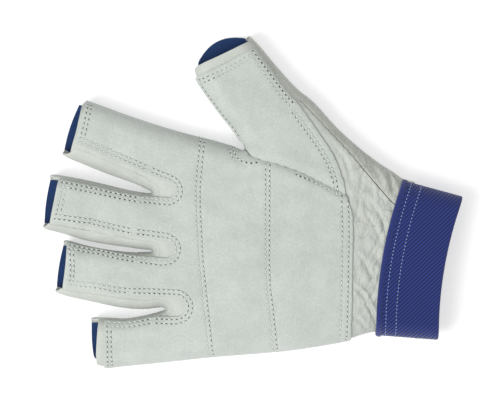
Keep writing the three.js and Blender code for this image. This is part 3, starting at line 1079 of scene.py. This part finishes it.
fork = int(np.argmax(thumb_index_edge.points[:, 0]))  # the deepest point between thumb and index
thumb_beside_fork = thumb_index_edge.part(0, fork)
index_beside_fork = thumb_index_edge.part(fork + 1, None)
FINGER_SIDES = [side for name, side in sides.items() if name != "thumb_to_index"]
FINGER_SIDES += [index_beside_fork, index_right]
THUMB_SIDES = [thumb_left, thumb_beside_fork, sides["wrist_to_thumb"]]


def base_line(line_of):
    """The line across a digit's base, between the starts of the lines along its two sides."""
    return line_between(line_of("right")[0], line_of("left")[0])


def round_the_fingers(line_kind, fork_line):
    """Edges across each finger's base and round the forks between, from the index onwards."""
    edges = [(base_line(line_kind(index)), "join")]
    for name, side, _, digit in FORKS:
        edges += [(fork_line(name, side), "cut"), (base_line(line_kind(digit)), "join")]
    return edges


def tapered_wrap(side, from_fork):
    """The suede's edge beside the thumb's fork, where it comes to wrap round the side."""
    return side.offset(np.interp(from_fork, [0, FORK_TAPER], [UNDER, WRAP]))


def build_palm_suede():
    little_wrap = little_edge.offset(WRAP)
    cut_at = np.nonzero(little_edge.points[:, 0] < 38.9)[0][-1]
    wrist = joined(unrolled(SUEDE_WRIST), little_wrap[cut_at])
    seam = unrolled(thumb_seam) - [0.0, 0.35]
    by_index = tapered_wrap(index_beside_fork, index_beside_fork.run())
    edges = round_the_fingers(lambda digit: digit.edge, lambda name, side: notch_lines[name])
    edges += [
        (little_wrap[:cut_at + 1], "cut"),
        (wrist[::-1], "cut"),
        (seam[::-1], "cut"),
        (line_between(seam[0], by_index[0]), "cut"),
        (by_index, "cut"),
    ]
    suede_sheet("palm_suede", edges, palm_rows, "hand", FINGER_SIDES, "palm_reinforcement")


def build_thumb_base_suede():
    seam = unrolled(thumb_seam) + [0.0, 0.25]
    by_thumb = tapered_wrap(thumb_beside_fork, thumb_beside_fork.reversed().run()[::-1])
    edges = [
        (base_line(thumb.edge), "join"),
        (by_thumb, "cut"),
        (line_between(by_thumb[-1], seam[0]), "cut"),
        (seam, "cut"),
        (joined(seam[-1], thumb_edge_line), "cut"),
    ]
    suede_sheet("thumb_base_suede", edges, thumb_base_rows, "hand", THUMB_SIDES, "thumb_base_reinforcement")


def build_forks():
    """The webs between the fingers. Gives the line of the palm leather's seam along each."""
    seams = []
    for name, edge, first, second in FORKS:
        side = edge.refined(0.3)
        run = side.run()
        arcs = np.interp(run / run[-1], [0, 0.3, 0.62, 1], [
            first.arc("left")[0] - SEAM_GAP, FORK_ARC, FORK_ARC, second.arc("right")[0] - SEAM_GAP])
        piece = strip(name + "_web_leather", side, arcs + 0.1, BACK_SEAM - 0.2, leather,
                      groove=(2.2, 0.8, 0.3))
        settle(piece, "hand", "leather", name + "_web")
        seams.append(side.offset(arcs))
    return seams


def build_palm_leather(fork_seams):
    under_suede = little_edge.offset(WRAP + 2)
    by_thumb, by_index = [side.offset(UNDER) for side in (thumb_beside_fork, index_beside_fork)]
    edges = []
    for seam, following in zip(fork_seams, fork_seams[1:] + [under_suede]):
        edges += [(seam, "cut"), (line_between(seam[-1], following[0]), "join")]
    edges += [
        (under_suede, "cut"),
        (smooth_line(np.vstack([under_suede[-1:], LEATHER_WRIST, gusset_seam[:1]])), "cut"),
        (gusset_seam, "cut"),
        (line_between(gusset_seam[-1], by_thumb[0]), "join"),
        (by_thumb, "cut"),
        (line_between(by_thumb[-1], by_index[0]), "cut"),
        (by_index, "cut"),
        (line_between(by_index[-1], fork_seams[0][0]), "join"),
    ]
    piece = panel("palm_leather_base", edges, leather, cell=0.95)
    settle(piece, "hand", "leather", "palm_leather")


def build_side_edges():
    piece = strip("little_side_edge_leather", little_edge, WRAP + 1.8, BACK_SEAM - 0.2, leather, cut_end=True)
    settle(piece, "hand", "leather", "little_side_edge")
    piece = strip("thumb_index_web_leather", thumb_index_edge, UNDER - 0.1, BACK_SEAM - 0.2, leather)
    settle(piece, "hand", "leather", "thumb_index_web")


def build_gusset():
    """From its seam on the palm side round to the back."""
    back = thumb_edge.offset(BACK_SEAM - 0.2)
    edges = [
        (gusset_seam[::-1] + [0.25, 0.25], "cut"),
        (line_between(gusset_seam[0], back[0]), "cut"),
        (back, "cut"),
        (line_between(back[-1], gusset_seam[-1]), "join"),
    ]
    # Its leather is darker with painted shade.
    piece = panel("thumb_gusset_leather", edges, gusset_skin_painted_shade, cell=1.1)
    settle(piece, "hand", "leather", "thumb_side_gusset")


def build_back():
    wrist_middle = CUFF_CENTRE - CUFF_ALONG * BACK_TO_CUFF
    by_little = little_edge.cut(wrist_middle, CUFF_ALONG)[0].offset(-BACK_SEAM)
    by_thumb = thumb_edge.cut(wrist_middle, CUFF_ALONG)[1].offset(-BACK_SEAM)
    edges = round_the_fingers(lambda digit: digit.back_edge, lambda name, side: side.offset(-BACK_SEAM))
    edges += [
        (by_little, "cut"),
        (line_between(by_little[-1], by_thumb[0], BULGE), "cut"),
        (by_thumb, "cut"),
        (base_line(thumb.back_edge), "join"),
        (thumb_index_edge.offset(-BACK_SEAM), "cut"),
    ]
    piece = panel("hand_back_panel", edges, knit, face=-1, thickness=0.9)
    settle(piece, "hand", "stretch_fabric", "back_fabric")


build_palm_suede()
build_thumb_base_suede()
build_palm_leather(build_forks())
build_side_edges()
build_gusset()
build_back()


# ---- The cuff ----

CUFF_HALF = 15.0
CUFF_WIDE = (38.2, 35.4)  # half-widths at the glove's side and at the mouth
CUFF_LOW, CUFF_HIGH = 3.3, 19.3
SLIT = 14.0


def cuff_points(along, share, inset):
    """Points of the cuff: mm along it from its middle, and the share of the way round from the slit."""
    half = np.interp(along, [-CUFF_HALF, CUFF_HALF], CUFF_WIDE)
    middle, radius = (CUFF_LOW + CUFF_HIGH) / 2, (CUFF_HIGH - CUFF_LOW) / 2
    flat = half - radius
    bend = math.pi * radius
    run = SLIT / 2 + share * (4 * flat + 2 * bend - SLIT)
    r = radius - inset
    angle_one = (run - flat) / radius - math.pi / 2
    angle_two = (run - 3 * flat - bend) / radius + math.pi / 2
    stretches = [run <= flat, run <= flat + bend, run <= 3 * flat + bend, run <= 3 * flat + 2 * bend]
    y = np.select(
        stretches,
        [run, flat + r * np.cos(angle_one), 2 * flat + bend - run, -flat + r * np.cos(angle_two)],
        run - 4 * flat - 2 * bend)
    z = np.select(
        stretches,
        [middle - r, middle + r * np.sin(angle_one), middle + r, middle + r * np.sin(angle_two)],
        middle - r)
    x = along - BULGE * (1 - (y / half) ** 2)
    sag = 0.35 * np.sin(y / 9 + along / 14) * (z > middle)
    plan = CUFF_CENTRE + x[:, None] * CUFF_ALONG + y[:, None] * CUFF_ACROSS
    return np.column_stack([plan, z + sag])


def cuff_sheet(name, start, end, lift_of, thickness, material, cells_along):
    """A band of the cuff whose outer face is lifted by lift_of(share along)."""
    cells_round = 230
    shares, round_ = np.meshgrid(np.linspace(0, 1, cells_along + 1), np.linspace(0, 1, cells_round + 1),
                                 indexing="ij")
    along = (start + (end - start) * shares).ravel()
    outer = cuff_points(along, round_.ravel(), -lift_of(shares).ravel())
    inner = cuff_points(along, round_.ravel(), np.full(along.size, thickness))
    faces = grid_faces(cells_along, cells_round)
    return close_sheet(name, outer, inner, faces, rim_of(faces), material)


def cuff_stitching(name, alongs):
    """Rows of blue thread round the cuff, each so far along it."""
    threads, holes = [], []
    share = np.linspace(0.004, 0.996, 90)
    for distance in alongs:
        along = np.full(len(share), distance)
        spots = cuff_points(along, share, np.zeros(len(share)))
        normals = unit(spots - cuff_points(along, share, np.ones(len(share))))
        for i in range(len(spots) - 1):
            threads.append(stitch(spots[i:i + 2], normals[i:i + 2], (0.22, 0.72), 0.14, 1.6, 0.22))
            holes.append(needle_hole(spots[i] - normals[i] * 0.12, normals[i], 0.32))
    sew(name, threads, holes, thread_blue, blue_hole_shade, "hand", "elastic")


def rounded_band(share):
    edge = np.minimum(share, 1 - share)
    return -0.5 * np.clip(1 - edge / 0.02, 0, 1) ** 2


def rolled_tape(share):
    return 0.75 * np.sqrt(np.clip(1 - (2 * share - 1) ** 2, 0, 1)) - 0.1


def build_cuff():
    band = cuff_sheet("elastic_cuff_band", -CUFF_HALF + 1.2, CUFF_HALF, rounded_band, 1.7, twill, 48)
    settle(band, "hand", "elastic", "cuff_elastic")
    tape = cuff_sheet("folded_seam_tape", -CUFF_HALF - 0.4, -CUFF_HALF + 2.5, rolled_tape, 1.9,
                      tape_twill, 12)
    settle(tape, "hand", "elastic", "cuff_seam_tape")
    cuff_stitching("cuff_band", (-CUFF_HALF + 4.2, -CUFF_HALF + 9.2))


# The closure's parts, which lie flat under the cuff: piece, CAD node, extents along and across the
# cuff, material, slot, body, and the length over which the far end is rounded.
CLOSURE = (
    ("closure_strap_webbing", "closure_strap", (-12, 12), (19.7, -28), twill, "elastic", "strap", 0),
    ("strap_pull_tab", "pull_tab", (-9, 9), (-28.3, -37), leather, "leather", "strap", 6),
    ("hook_patch", "hook_tape", (-10, 10), (-8, -26), pile, "hook_and_loop", "strap", 0),
    ("loop_patch", "loop_tape", (-10, 10), (-8, -26), pile, "hook_and_loop", "hand", 0),
    ("strap_root_webbing", "strap_root", (-12, 12), (21, 28), twill, "elastic", "hand", 0),
)


def flat_strap(name, node, along, across, material, slot, body, round_end):
    """A flat length of webbing with rounded edges, as thick as its CAD node."""
    bottom, top = [corner.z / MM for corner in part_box(node)]
    steps_x, steps_y = 24, max(6, int(abs(across[1] - across[0]) / 1.2))
    x, y = np.meshgrid(np.linspace(*along, steps_x + 1), np.linspace(*across, steps_y + 1), indexing="ij")
    half = (along[1] - along[0]) / 2
    to_end = np.abs(y - across[1])
    edge = np.minimum.reduce([half - np.abs(x), np.abs(y - across[0]), to_end]) + 0.01
    rounding = 0.35 * (top - bottom) * np.clip(1 - edge / 0.9, 0, 1) ** 2
    if round_end:
        x = x * (1 - 0.35 * np.clip(1 - to_end / round_end, 0, 1) ** 2)
    x = x - BULGE * (1 - (y / 37) ** 2)
    plan = CUFF_CENTRE + x[..., None] * CUFF_ALONG + y[..., None] * CUFF_ACROSS
    upper = np.dstack([plan, top - rounding]).reshape(-1, 3)
    lower = np.dstack([plan, bottom + rounding]).reshape(-1, 3)
    faces = grid_faces(steps_x, steps_y)
    settle(close_sheet(name, upper, lower, faces, rim_of(faces), material), body, slot, node)


build_cuff()
for closure_part in CLOSURE:
    flat_strap(*closure_part)


# ---- Table, light and camera ----

def build_stage():
    bpy.ops.mesh.primitive_grid_add(x_subdivisions=8, y_subdivisions=8, size=6, location=(0, 0, -0.0003))
    table = bpy.context.object
    table.name = "table"
    table.data.materials.append(table_material())


def area_light(name, power, size, at):
    """A soft light, aimed at the glove."""
    light = bpy.data.lights.new(name, "AREA")
    light.energy = power
    light.size = size
    holder = bpy.data.objects.new(name, light)
    holder.location = at
    bpy.context.scene.collection.objects.link(holder)
    holder.rotation_euler = holder.location.to_track_quat("Z", "Y").to_euler()


def build_lights():
    world = bpy.data.worlds.new("studio")
    world.use_nodes = True
    background = world.node_tree.nodes["Background"]
    background.inputs["Color"].default_value = (1, 1, 1, 1)
    background.inputs["Strength"].default_value = 0.5
    bpy.context.scene.world = world
    area_light("key_from_the_fingers", 14.5, 0.68, (-0.68, -0.42, 1.15))
    area_light("fill_above", 4, 1.0, (0.15, 0.05, 1.5))
    bpy.context.scene.view_settings.view_transform = "Standard"


def build_camera():
    """Straight above the glove, with a field of view given at the height of its palm."""
    field, palm, sensor = 242.5, 15.0, 36
    camera = bpy.data.objects.new("camera", bpy.data.cameras.new("camera"))
    camera.data.lens = 200
    camera.location = (-9.7 * MM, 20.6 * MM, (palm + field * camera.data.lens / sensor) * MM)
    bpy.context.scene.collection.objects.link(camera)
    bpy.context.scene.camera = camera


build_stage()
build_lights()
build_camera()
